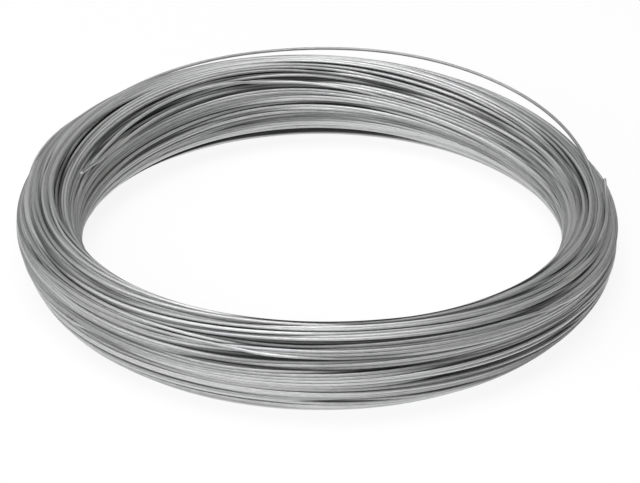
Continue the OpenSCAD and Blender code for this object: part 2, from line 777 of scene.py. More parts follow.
    def lay(self) -> None:
        """Lays every turn where it would like to be."""
        rng = np.random.default_rng(self.seed)
        slots = self.slots()
        self.turns = len(slots)
        following = np.vstack([slots[1:], slots[-1:]])
        share = (np.arange(self.stations) / self.stations)[None, :, None]
        unit = self.crowded(slots[:, None, :] * (1 - share) + following[:, None, :] * share)
        half = self.form.mean_half
        self.skin = self.skin_zone.share(self.form.reach(unit))
        unit = self.swayed(self.swirled(unit, rng) + self.wandering(rng) / half)
        unit = unit + self.parted(unit) / half
        self.target = self.form.from_unit(unit, self.bearings[None, :])
        self.alive = np.ones((self.turns, self.stations), bool)
        self.freedom = np.ones((self.turns, self.stations))
        taken: set[int] = set()
        for ride in self.rides:
            self.raise_ride(ride, taken)
        for end in self.cut_ends:
            path, there, freedom = self.cut_end_path(end)
            self.target = np.concatenate([self.target, path[None]])
            self.alive = np.concatenate([self.alive, there[None]])
            self.freedom = np.concatenate([self.freedom, freedom[None]])
            self.skin = np.concatenate([self.skin, np.zeros((1, self.stations))])
        self.target = self.target.astype(np.float32)
        self.points = self.target.copy()

    def contact_r(self) -> np.ndarray:
        """Works out how near others each point may come. Deep turns may crowd, since none of them show.

        Returns:
            The radius at which each point touches others.
        """
        unit = self.form.to_unit(self.points, self.bearings[None, :])
        firm = self.firm_zone.share(self.form.reach(unit))
        return self.wire_d / 2 * (self.settling.deep_size + self.settling.firm_more * firm)

    def near_pairs(self, at_once: int = 8) -> tuple[np.ndarray, np.ndarray]:
        """Finds the turns that lie near each other at a station.

        Args:
            at_once: how many stations to look at together.

        Returns:
            Flat index of the first and of the second of each pair.
        """
        reach = (self.settling.near * self.wire_d) ** 2
        count = len(self.points)
        upper = np.triu(np.ones((count, count), bool), 1)
        left, right = [], []
        for start in range(0, self.stations, at_once):
            block = self.points[:, start : start + at_once]
            gap = block[:, None] - block[None]
            close = (gap[..., 0] ** 2 + gap[..., 1] ** 2 < reach) & upper[..., None]
            there = self.alive[:, start : start + at_once]
            i, j, k = np.nonzero(close & there[:, None] & there[None])
            left.append(i * self.stations + k + start)
            right.append(j * self.stations + k + start)
        return np.concatenate(left), np.concatenate(right)

    def stiffen(self, amount: float, times: int = 3) -> None:
        """Takes kinks out along the wire, whose turns follow on from each other.

        Args:
            amount: how far a point goes toward the middle of its neighbours.
            times: how many times.
        """
        line = self.points[: self.turns].reshape(-1, 2)
        for _ in range(times):
            middle = (line[:-2] + line[2:]) / 2
            line[1:-1] += amount * (middle - line[1:-1])

    def part(self, left: np.ndarray, right: np.ndarray, apart: np.ndarray) -> float:
        """Moves overlapping turns apart.

        Args:
            left: flat index of the first of each pair.
            right: flat index of the second.
            apart: how far apart the middles of each pair have to be.

        Returns:
            The deepest overlap that was found.
        """
        flat, freedom = self.points.reshape(-1, 2), self.freedom.reshape(-1)
        gap = flat[left] - flat[right]
        distance = np.maximum(np.hypot(gap[:, 0], gap[:, 1]), 1e-7)
        overlap = np.maximum(apart - distance, 0)
        hit = overlap > 0
        i, j = left[hit], right[hit]
        both = freedom[i] + freedom[j]
        push = gap[hit] * (overlap[hit] / distance[hit])[:, None]
        size = len(flat)
        count = np.bincount(i, minlength=size) + np.bincount(j, minlength=size)
        for axis in range(2):
            moved_i = np.bincount(i, push[:, axis] * freedom[i] / both, size)
            moved_j = np.bincount(j, push[:, axis] * freedom[j] / both, size)
            flat[:, axis] += (moved_i - moved_j) / np.maximum(count, 1) * self.settling.apart
        return float(overlap.max()) if len(overlap) else 0.0

    def contain(self) -> None:
        """Holds the turns inside their outline, apart from those that ride, draws the outermost up to it,
        and keeps all above the floor."""
        unit = self.form.to_unit(self.points, self.bearings[None, :])
        reach = np.maximum(self.form.reach(unit), 1e-3)
        centre = self.form.from_unit(np.zeros_like(unit), self.bearings[None, :])
        edge_r = np.linalg.norm(self.points - centre, axis=-1) / reach
        limit = 1 - (self.wire_d / 2 + self.relief.dip(self.form.side(unit))) / edge_r
        # A turn that rides is less than half free, so it isn't held inside.
        free = np.clip(2 * self.freedom - 1, 0, 1)
        way = self.settling
        step = np.where(reach > limit, way.inward, way.outward * self.skin) * free * (limit / reach - 1)
        self.points += (step[..., None] * (self.points - centre)).astype(np.float32)
        self.points[..., 1] = np.maximum(self.points[..., 1], self.wire_d / 2)

    def settle(self) -> None:
        """Lets the turns find their places: near where they were laid, smooth, and side by side."""
        way = self.settling
        for step in range(way.rounds):
            if step % way.look_every == 0:
                left, right = self.near_pairs()
                radius = self.contact_r().reshape(-1)
                apart = (radius[left] + radius[right]).astype(np.float32)
            pull = way.back * (1 - step / way.rounds) + way.held * (1 - self.freedom[..., None])
            self.points += (pull * (self.target - self.points)).astype(np.float32)
            self.stiffen(way.stiff)
            self.contain()
            for _ in range(way.partings):
                deepest = self.part(left, right, apart)
        self.stiffen(way.stiff, times=way.last_smoothings)
        LOG.info("settled %d turns, deepest overlap in the last round %.2f mm", self.turns, deepest / MM)


@dataclass
class WireMesh:
    """Round wire built along paths, gathered into one mesh.

    Args:
        wire_d: diameter of the wire.
        sides: how many sides it has.
        rings: corners of the rings of each run, and the middles of its ends.
        quads: faces along each run.
        caps: faces on its ends.
        quad_uvs: texture places of the faces along it.
        cap_uvs: texture places of the faces on its ends.
        shades: brightness of the zinc at each corner.
        painted_shades: painted shade at each corner.
        rims: which corners lie on the edge of an end.
        corners: how many corners there are.
    """

    wire_d: float
    sides: int = 8
    rings: list[np.ndarray] = field(default_factory=list)
    quads: list[np.ndarray] = field(default_factory=list)
    caps: list[np.ndarray] = field(default_factory=list)
    quad_uvs: list[np.ndarray] = field(default_factory=list)
    cap_uvs: list[np.ndarray] = field(default_factory=list)
    shades: list[np.ndarray] = field(default_factory=list)
    painted_shades: list[np.ndarray] = field(default_factory=list)
    rims: list[np.ndarray] = field(default_factory=list)
    corners: int = 0

    @property
    def radius(self) -> float:
        """Radius of a ring's corners, by which it has the round wire's own area."""
        return self.wire_d / 2 * math.sqrt(FULL_TURN / self.sides / math.sin(FULL_TURN / self.sides))

    def ring_corners(self, path: np.ndarray) -> np.ndarray:
        """Puts a ring round each point of a path.

        Args:
            path: points of the wire's middle line.

        Returns:
            The corners of each ring.
        """
        along = np.gradient(path, axis=0)
        along /= np.linalg.norm(along, axis=1, keepdims=True)
        side = np.cross(along, np.array([0.0, 0.0, 1.0]))
        side /= np.linalg.norm(side, axis=1, keepdims=True)
        up = np.cross(side, along)
        angle = np.arange(self.sides) * FULL_TURN / self.sides
        ring = side[:, None] * np.cos(angle)[None, :, None] + up[:, None] * np.sin(angle)[None, :, None]
        return path[:, None] + ring * self.radius

    def add(self, run: "Run") -> None:
        """Adds a length of wire.

        Args:
            run: the stretch to add.
        """
        count, sides = len(run.path), self.sides
        self.rings += [self.ring_corners(run.path).reshape(-1, 3), run.path[[0, -1]]]
        first = self.corners
        j = np.arange(sides)
        k = (j + 1) % sides
        near = first + np.arange(count - 1)[:, None] * sides
        faces = np.stack([near + k, near + j, near + j + sides, near + k + sides], -1)
        self.quads.append(faces.reshape(-1, 4))
        steps = np.linalg.norm(np.diff(run.path, axis=0), axis=1)
        u = run.start_u + np.concatenate([[0.0], np.cumsum(steps)])
        v = np.arange(sides + 1) / sides
        low, high = np.meshgrid(u[:-1], v[1:], indexing="ij"), np.meshgrid(u[1:], v[:-1], indexing="ij")
        corners = [(low[0], low[1]), (low[0], high[1]), (high[0], high[1]), (high[0], low[1])]
        self.quad_uvs.append(np.stack([np.stack(pair, -1) for pair in corners], -2).reshape(-1, 2))
        end, tip = first + (count - 1) * sides, first + count * sides
        back = np.stack([np.full(sides, tip), first + j, first + k], -1)
        front = np.stack([np.full(sides, tip + 1), end + k, end + j], -1)
        self.caps.append(np.concatenate([back, front]))
        self.cap_uvs.append(np.repeat([[u[0], 0.0], [u[-1], 0.0]], 3 * sides, axis=0))
        self.shades.append(np.concatenate([np.repeat(run.shade, sides), run.shade[[0, -1]]]))
        self.painted_shades.append(np.concatenate([np.repeat(run.depth, sides), run.depth[[0, -1]]]))
        rim = np.zeros(count * sides + 2, bool)
        rim[:sides] = rim[(count - 1) * sides : count * sides] = True
        self.rims.append(rim)
        self.corners += count * sides + 2

    def build(self, name: str) -> bpy.types.Object:
        """Makes the mesh.

        Args:
            name: name of the piece.

        Returns:
            The piece, at the origin.
        """
        verts = np.concatenate(self.rings).astype(np.float32)
        quads, caps = np.concatenate(self.quads), np.concatenate(self.caps)
        mesh = bpy.data.meshes.new(name)
        mesh.vertices.add(len(verts))
        mesh.vertices.foreach_set("co", verts.ravel())
        loops = np.concatenate([quads.ravel(), caps.ravel()]).astype(np.int32)
        mesh.loops.add(len(loops))
        mesh.loops.foreach_set("vertex_index", loops)
        sizes = np.concatenate([np.full(len(quads), 4), np.full(len(caps), 3)])
        mesh.polygons.add(len(sizes))
        mesh.polygons.foreach_set("loop_start", (np.cumsum(sizes) - sizes).astype(np.int32))
        mesh.update(calc_edges=True)
        mesh.polygons.foreach_set("use_smooth", np.ones(len(sizes), bool))
        edges = np.zeros(len(mesh.edges) * 2, np.int32)
        mesh.edges.foreach_get("vertices", edges)
        rim = np.concatenate(self.rims)[edges.reshape(-1, 2)].all(axis=1)
        sharp = mesh.attributes.new("sharp_edge", "BOOLEAN", "EDGE")
        sharp.data.foreach_set("value", rim)
        uv = np.concatenate(self.quad_uvs + self.cap_uvs).astype(np.float32)
        mesh.uv_layers.new(name="wire").data.foreach_set("uv", uv.ravel())
        # The depth attribute carries the painted shade.
        for label, values in (("shade", self.shades), ("depth", self.painted_shades)):
            layer = mesh.attributes.new(label, "FLOAT", "POINT")
            layer.data.foreach_set("value", np.concatenate(values).astype(np.float32))
        piece = bpy.data.objects.new(name, mesh)
        bpy.context.scene.collection.objects.link(piece)
        return piece


class Side(Enum):
    """Which side of the bundle a stretch of wire shows on, by its angle round the section in degrees."""

    OUTER = 0
    OUTER_TOP = 58
    INNER_TOP = 122
    INNER = 180
    INNER_FOOT = 240
    OUTER_FOOT = 300

    @property
    def piece_name(self) -> str:
        """Name of the piece that holds this side's wire."""
        return f"turns_{self.name.lower()}"

    @classmethod
    def nearest(cls, angle: float) -> "Side":
        """The side that an angle belongs to."""
        return min(cls, key=lambda side: abs(wrapped(angle - side.value)))


@dataclass(frozen=True)
class Run:
    """A stretch of wire that shows.

    Args:
        path: points of its middle line, in the row frame.
        start_u: distance along the wire at its first point.
        depth: painted shade at each point, from 0 on the outside to 1 where wire stops showing.
        shade: how bright the zinc is at each point, from 0 to 1.
        side: angle round the section where its middle is, in degrees.
    """

    path: np.ndarray
    start_u: float
    depth: np.ndarray
    shade: np.ndarray
    side: float


@dataclass(frozen=True)
class StrandTone:
    """Turns that were wound one after the other come from one part of the zinc bath, so they share their
    brightness. It is a pattern of long stripes along the coil, which follow the turns.

    Args:
        sway: how the turns shift round the section.
        waves: how many waves the pattern is the sum of.
        fewest: the fewest stripes that a wave has round the section.
        most: the most.
        twist: how many stripes a wave shifts by in one turn of the coil at most.
        seed: seed of the waves.
        contrast: how strong they are.
    """

    sway: Sway
    waves: int = 18
    fewest: int = 6
    most: int = 25
    twist: int = 2
    seed: int = 3
    contrast: float = 1.3

    def at(self, side: np.ndarray, bearing: np.ndarray) -> np.ndarray:
        """Works out the brightness.

        Args:
            side: angles round the section, in degrees.
            bearing: bearings round the coil.

        Returns:
            The brightness at each of them, from 0 to 1.
        """
        rng = np.random.default_rng(self.seed)
        across = self.sway.undone(bearing, np.radians(side))
        total = np.zeros_like(across)
        for _ in range(self.waves):
            stripes = rng.integers(self.fewest, self.most + 1)
            twist = rng.integers(-self.twist, self.twist + 1)
            total += rng.normal() * np.cos(stripes * across + twist * bearing + rng.uniform(0, FULL_TURN))
        return 0.5 + 0.5 * np.tanh(self.contrast * total / math.sqrt(self.waves / 2))


@dataclass
class ShownWire:
    """Finds which stretches of a winding show, so that the hidden middle needs no round wire.

    Args:
        winding: the settled winding.
        deep: how far in wire stops showing.
        margin: how many stations a stretch runs on past where it shows.
        shortest: stretches of this many stations or fewer are left out.
        shade_patches: where shade is painted on the zinc.
        plain_shade: the middle brightness.
        calm_tone: how far brightness still goes from it in a calm patch.
        calm_dark: how much of the painted shade between the turns is left there.
        clear_at: how far from the bundle a turn is fully darkened.
        clear_dark: how dark it is there.
        end_shade: brightness of the cut ends.
    """

    winding: Winding
    deep: float = 4.8 * MM
    margin: int = 3
    shortest: int = 6
    shade_patches: Sequence[PaintedShade] = ()
    plain_shade: float = 0.6
    calm_tone: float = 0.3
    calm_dark: float = 0.4
    clear_at: float = 3 * MM
    clear_dark: float = 0.3
    end_shade: float = 0.7

    def tones(
        self, distance: np.ndarray, side: np.ndarray, bearing: np.ndarray
    ) -> tuple[np.ndarray, np.ndarray]:
        """Works out the zinc's tones. Shade is painted between the turns, less in a calm patch, and in the
        shade patches, and a turn that stands clear of the bundle is made darker.

        Args:
            distance: how far in from the outline each point lies.
            side: its angle round the section, in degrees.
            bearing: its bearing round the coil.

        Returns:
            How bright and how dark each point is, from 0 to 1.
        """
        sway, relief = self.winding.sway, self.winding.relief
        left = relief.left(np.radians(side), bearing)
        # A turn that stands clear of the bundle is made darker.
        clear = smooth(-distance / self.clear_at)
        tone = StrandTone(sway).at(side, bearing) - self.plain_shade
        shade = self.plain_shade + tone * (self.calm_tone + (1 - self.calm_tone) * left)
        # Painted shade: the deeper a point lies between the turns, the darker it is painted, less so in a
        # calm patch.
        between = np.maximum(distance, 0) / self.deep * (self.calm_dark + (1 - self.calm_dark) * left)
        dark = between + self.clear_dark * clear
        # The shade patches add painted shade.
        dark = dark + sum(shade_patch.on(bearing, np.radians(side)) for shade_patch in self.shade_patches)
        return shade * (1 - clear), np.clip(dark, 0, 1)

    def depth(self, points: np.ndarray, bearing: np.ndarray) -> tuple[np.ndarray, np.ndarray]:
        """Finds where points lie in the section.

        Args:
            points: points of the section.
            bearing: bearing of each.

        Returns:
            How far in from the outline each lies, and its angle round the section in degrees.
        """
        form = self.winding.form
        unit = form.to_unit(points, bearing)
        reach = np.maximum(form.reach(unit), 1e-4)
        edge = form.from_unit(unit / reach[..., None], bearing)
        distance = np.linalg.norm(edge - points, axis=-1) * np.sign(1 - reach)
        return distance, np.degrees(form.side(unit))

    def stretches(self, shown: np.ndarray) -> Iterator[tuple[int, int]]:
        """Finds the unbroken stretches of a mask, but for the shortest.

        Args:
            shown: the mask.

        Returns:
            For each stretch in turn, its first index and the one after its last.
        """
        edges = np.flatnonzero(np.diff(np.concatenate([[0], shown.astype(int), [0]])))
        for first, last in zip(edges[::2], edges[1::2]):
            if last - first > self.shortest:
                yield int(first), int(last)

    def bundle_runs(self) -> Iterator[Run]:
        """Finds the shown stretches of the wound turns, which follow on from each other.

        Returns:
            The stretches, one by one.
        """
        winding = self.winding
        points = winding.points[: winding.turns].reshape(-1, 2).astype(float)
        bearing = np.tile(winding.bearings, winding.turns)
        places = winding.form.place(points, bearing)
        distance, side = self.depth(points, bearing)
        shade, dark = self.tones(distance, side, bearing)
        shown = np.convolve(distance < self.deep, np.ones(2 * self.margin + 1), "same") > 0.5
        u = np.concatenate([[0.0], np.cumsum(np.linalg.norm(np.diff(places, axis=0), axis=1))])
        LOG.info("the winding is %.0f m of wire in %d turns", u[-1], winding.turns)
        for first, last in self.stretches(shown):
            middle = np.exp(1j * np.radians(side[first:last])).mean()
            yield Run(
                places[first:last],
                float(u[first]),
                dark[first:last],
                shade[first:last],
                float(np.degrees(np.angle(middle))),
            )

    def cut_end_runs(self) -> Iterator[Run]:
        """Finds the cut ends.

        Returns:
            The cut ends, one by one, each from its hidden start to its tip.
        """
        winding = self.winding
        for row in range(winding.turns, len(winding.points)):
            there = winding.alive[row]
            first = int(np.flatnonzero(there & ~np.roll(there, 1))[0])
            order = (first + np.arange(int(there.sum()))) % winding.stations
            points = winding.points[row, order].astype(float)
            bearing = winding.bearings[order]
            distance, _ = self.depth(points, bearing)
            places = winding.form.place(points, bearing)
            shade = np.full(len(order), self.end_shade)
            # A cut end gets painted shade by how deep it lies.
            yield Run(places, float(row), np.clip(distance / self.deep, 0, 1), shade, side=90.0)


class Num:
    """A number that changes over a surface, with arithmetic that adds its own nodes."""

    def __init__(self, tree: "Tree", socket: bpy.types.NodeSocket) -> None:
        """Keeps the socket that gives the number, and the tree that it is in."""
        self.tree = tree
        self.socket = socket

    def _math(self, operation: str, *values: "Num | float") -> "Num":
        """One Math node on these values."""
        sockets = {index: value for index, value in enumerate(values)}
        return self.tree.add("ShaderNodeMath", {"operation": operation}, sockets).out("Value")

    def __add__(self, other: "Num | float") -> "Num":
        """Sum."""
        return self._math("ADD", self, other)

    def __radd__(self, other: float) -> "Num":
        """Sum, from the right."""
        return self._math("ADD", other, self)

    def __sub__(self, other: "Num | float") -> "Num":
        """Difference."""
        return self._math("SUBTRACT", self, other)

    def __rsub__(self, other: float) -> "Num":
        """Difference, from the right."""
        return self._math("SUBTRACT", other, self)

    def __mul__(self, other: "Num | float") -> "Num":
        """Product."""
        return self._math("MULTIPLY", self, other)

    def __rmul__(self, other: float) -> "Num":
        """Product, from the right."""
        return self._math("MULTIPLY", other, self)

    def wave(self) -> tuple["Num", "Num"]:
        """Cosine and sine of this number of whole turns."""
        angle = self * FULL_TURN
        return self._math("COSINE", angle), self._math("SINE", angle)

    def between(self, low: float, high: float) -> "Num":
        """Ramps from 0 to 1 as the number goes from low to high.

        Args:
            low: the number up to which it is 0.
            high: the number from which it is 1.

        Returns:
            The ramp.
        """
        node = self.tree.add(
            "ShaderNodeMapRange",
            {"interpolation_type": "SMOOTHSTEP"},
            {"Value": self, "From Min": low, "From Max": high},
        )
        return node.out("Result")


class Made:
    """A node that a tree has made."""

    def __init__(self, tree: "Tree", node: bpy.types.Node) -> None:
        """Keeps the node and its tree."""
        self.tree = tree
        self.node = node

    def out(self, name: "str | int") -> Num:
        """One of its outputs, by name or index."""
        return Num(self.tree, self.node.outputs[name])


class Tree:
    """The nodes of a material or a world."""

    def __init__(self, owner: "bpy.types.Material | bpy.types.World") -> None:
        """Empties the owner's tree.

        Args:
            owner: the material or the world.
        """
        owner.use_nodes = True
        self.tree = owner.node_tree
        self.tree.nodes.clear()

    def add(self, kind: str, settings: dict | None = None, sockets: dict | None = None) -> Made:
        """Adds one node.

        Args:
            kind: the node's type.
            settings: its own settings, which are set first.
            sockets: value or link of each input, by name or index.

        Returns:
            The new node.
        """
        node = self.tree.nodes.new(kind)
        for name, value in (settings or {}).items():
            setattr(node, name, value)
        for name, value in (sockets or {}).items():
            if isinstance(value, Num):
                self.tree.links.new(value.socket, node.inputs[name])
            else:
                node.inputs[name].default_value = value
        return Made(self, node)

    def noise(self, place: Num, scale: float, detail: float = 2.0, rough: float = 0.5) -> Num:
        """Soft random patches, from 0 to 1."""
        sockets = {"Vector": place, "Scale": scale, "Detail": detail, "Roughness": rough}
        return self.add("ShaderNodeTexNoise", None, sockets).out("Fac")

    def point(self, x: "Num | float", y: "Num | float", z: "Num | float") -> Num:
        """A place in a pattern."""
        return self.add("ShaderNodeCombineXYZ", None, {"X": x, "Y": y, "Z": z}).out("Vector")

    def blend(self, amount: "Num | float", first: "Num | tuple", second: "Num | tuple") -> Num:
        """A colour between two colours, by the sockets that the node has for colours."""
        return self.add("ShaderNodeMix", {"data_type": "RGBA"}, {0: amount, 6: first, 7: second}).out(2)


def grey(level: float, red: float = 1.0, blue: float = 1.0) -> tuple[float, float, float, float]:
    """A grey of this level, with a slight cast."""
    return (level * red, level, level * blue, 1.0)


@dataclass(frozen=True)
class ZincFinish:
    """Hot-dipped zinc on drawn wire: fine lines along it, soft spangle, and duller stretches, with shade
    painted on it where the turns lie deep.

    Args:
        bright: the zinc at its brightest.
        dull: the zinc at its dullest.
        deep: the near black that is painted as shade between the turns.
        cool: a bluer stretch.
        warm: a browner stretch.
        streak_l: length of the streaks along the wire.
        streak_round: how often they change round it.
        streak_share: how much they do to the tone.
        spangle_l: length of a spangle, with its own two values.
        stretches_per_m: how often longer stretches change along a metre, with their own share.
        shade_share: how much the strands do to the tone.
        tone_less: what is taken off the sum of all those.
        tone_range: the sums at which the zinc is at its dullest and at its brightest.
        tints_per_m: how often the tint changes along a metre.
        tint_range: the values between which it comes in.
        tint_share: how strong it gets.
        painted_shade_range: how deep a point lies where the painted shade starts and where it is full.
        lines_per_m: how often the fine lines change along a metre, and the value for round the wire.
        line_h: their height.
        line_strength: how strongly they show.
        spangle_relief: how much of that height is the spangle's.
        roughness: the least roughness, how much more it gets between spangles, and with depth.
    """

    bright: tuple = grey(0.70, 0.995, 1.0)
    dull: tuple = grey(0.42, 0.995, 1.005)
    # Painted shade: the near black toward which the colour goes between the turns.
    deep: tuple = grey(0.06, 1.0, 1.0)
    cool: tuple = grey(0.60, 0.97, 1.03)
    warm: tuple = grey(0.60, 1.02, 0.99)
    streak_l: float = 30 * MM
    streak_round: float = 2.2
    streak_share: float = 0.35
    spangle_l: float = 3.5 * MM
    spangle_round: float = 0.7
    spangle_share: float = 0.30
    stretches_per_m: float = 7.0
    stretch_share: float = 0.20
    shade_share: float = 0.42
    tone_less: float = 0.14
    tone_range: tuple = (0.15, 0.75)
    tints_per_m: float = 11.0
    tint_range: tuple = (0.56, 0.72)
    tint_share: float = 0.5
    painted_shade_range: tuple = (0.24, 0.72)
    lines_per_m: float = 40.0
    line_round: float = 5.0
    line_h: float = 0.1 * MM
    line_strength: float = 0.25
    spangle_relief: float = 0.5
    roughness: float = 0.45
    roughness_more: float = 0.20
    roughness_deep: float = 0.2

    def material(self, name: str) -> bpy.types.Material:
        """Builds the material.

        Args:
            name: its name.

        Returns:
            The material.
        """
        made = bpy.data.materials.new(name)
        tree = Tree(made)
        uv = tree.add("ShaderNodeUVMap", {"uv_map": "wire"}).out("UV")
        split = tree.add("ShaderNodeSeparateXYZ", None, {"Vector": uv})
        along, around = split.out("X"), split.out("Y")
        shade = tree.add("ShaderNodeAttribute", {"attribute_name": "shade"}).out("Fac")
        depth = tree.add("ShaderNodeAttribute", {"attribute_name": "depth"}).out("Fac")
        side, up = around.wave()
        place = tree.point(along * (1 / self.streak_l), side * self.streak_round, up * self.streak_round)
        streaks = tree.noise(place, scale=1.0, detail=3.0, rough=0.6)
        place = tree.point(along * (1 / self.spangle_l), side * self.spangle_round, up * self.spangle_round)
        spangle = tree.noise(place, scale=1.0)
        stretches = tree.noise(tree.point(along * self.stretches_per_m, 0.0, 0.0), scale=1.0, detail=1.0)
        tone = streaks * self.streak_share + spangle * self.spangle_share
        tone = tone + stretches * self.stretch_share + shade * self.shade_share - self.tone_less
        zinc = tree.blend(tone.between(*self.tone_range), self.dull, self.bright)
        # The tints are read in another part of the noise, so they don't follow the stretches.
        tint = tree.noise(tree.point(along * self.tints_per_m, 3.0, 0.0), scale=1.0, detail=1.0)
        zinc = tree.blend(tint.between(*self.tint_range) * self.tint_share, zinc, self.cool)
        zinc = tree.blend((1 - tint).between(*self.tint_range) * self.tint_share, zinc, self.warm)
        # Painted shade: the colour goes toward near black by the depth attribute, between the turns and in
        # the shade patches; it also darkens turns that stand clear.
        colour = tree.blend(depth.between(*self.painted_shade_range), zinc, self.deep)
        place = tree.point(along * self.lines_per_m, side * self.line_round, up * self.line_round)
        lines = tree.noise(place, scale=1.0, detail=4.0, rough=0.6)
        height = lines * (1 - self.spangle_relief) + spangle * self.spangle_relief
        sockets = {"Strength": self.line_strength, "Distance": self.line_h, "Height": height}
        bump = tree.add("ShaderNodeBump", None, sockets)
        rough = self.roughness + (1 - spangle) * self.roughness_more + depth * self.roughness_deep
        shader = tree.add(
            "ShaderNodeBsdfPrincipled",
            None,
            {"Base Color": colour, "Roughness": rough, "Metallic": 1.0, "Normal": bump.out("Normal")},
        )
        tree.add("ShaderNodeOutputMaterial", None, {"Surface": shader.out("BSDF")})
        return made


@dataclass(frozen=True)
class HiddenWireShade:
    """The middle of the bundle, painted near black as shade, since it shows only as the dark between the
    outer turns.
    """

    darkest: tuple = grey(0.035)
    lightest: tuple = grey(0.07)
    patches_per_m: float = 90.0
    roughness: float = 0.8
    metallic: float = 0.4

    def material(self, name: str) -> bpy.types.Material:
        """Builds the material.

        Args:
            name: its name.

        Returns:
            The material.
        """
        made = bpy.data.materials.new(name)
        tree = Tree(made)
        place = tree.add("ShaderNodeTexCoord").out("Object")
        patches = tree.noise(place, self.patches_per_m, detail=3.0)
        colour = tree.blend(patches, self.darkest, self.lightest)
        sockets = {"Base Color": colour, "Roughness": self.roughness, "Metallic": self.metallic}
        shader = tree.add("ShaderNodeBsdfPrincipled", None, sockets)
        tree.add("ShaderNodeOutputMaterial", None, {"Surface": shader.out("BSDF")})
        return made


@dataclass(frozen=True)
class FloorFinish:
    """A pale matt floor that shows white to the camera and in the metal, and keeps the shadow."""

    paint: tuple = grey(0.92)
    whiteness: float = 0.88

    def material(self, name: str) -> bpy.types.Material:
        """Builds the material.

        Args:
            name: its name.

        Returns:
            The material.
        """
        made = bpy.data.materials.new(name)
        tree = Tree(made)
        ray = tree.add("ShaderNodeLightPath")
        seen = ray.out("Is Camera Ray") + ray.out("Is Glossy Ray") + ray.out("Is Transmission Ray")
        paint = tree.add("ShaderNodeBsdfDiffuse", None, {"Color": self.paint})
        glow = tree.add("ShaderNodeEmission", None, {"Color": grey(1.0), "Strength": 1.0})
        sockets = {"Fac": seen * self.whiteness, 1: paint.out("BSDF"), 2: glow.out("Emission")}
        mixed = tree.add("ShaderNodeMixShader", None, sockets)
        tree.add("ShaderNodeOutputMaterial", None, {"Surface": mixed.out("Shader")})
        return made


@dataclass
class Core:
    """One plain closed ring under the shown wire, so that no light comes through the bundle.

    Args:
        form: outline of the bundle.
        depth: how far in from that the ring lies.
        around: how many sides its section has.
        along: how many sections there are round the coil.
    """

    form: BundleForm
    depth: float = 4.4 * MM
    around: int = 48
    along: int = 144

    def build(self, finish: HiddenWireShade) -> bpy.types.Object:
        """Shapes a torus to the bundle's outline and dresses it.

        Args:
            finish: its colour, which is painted shade.

        Returns:
            The piece.
        """
        ring_r = (self.form.outer_r + self.form.bore_r) / 2
        bpy.ops.object.select_all(action="DESELECT")
        bpy.ops.mesh.primitive_torus_add(
            major_segments=self.along,
            minor_segments=self.around,
            major_radius=ring_r,
            minor_radius=self.form.height / 2,
            generate_uvs=False,
        )
        piece = bpy.context.object
        piece.name = piece.data.name = "hidden_turns"
        verts = np.zeros(len(piece.data.vertices) * 3)
        piece.data.vertices.foreach_get("co", verts)
        x, y, z = verts.reshape(-1, 3).T
        bearing, side = np.arctan2(y, x), np.arctan2(z, np.hypot(x, y) - ring_r)
        points = self.form.from_unit(self.form.outline(side), bearing)
        inward = self.form.from_unit(np.zeros_like(points), bearing) - points
        points = points + inward / np.linalg.norm(inward, axis=-1, keepdims=True) * self.depth
        piece.data.vertices.foreach_set("co", self.form.place(points, bearing).ravel())
        bpy.ops.object.shade_smooth()
        # The core is painted near black as shade.
        piece.data.materials.append(finish.material("hidden_wire_shade"))
        return piece


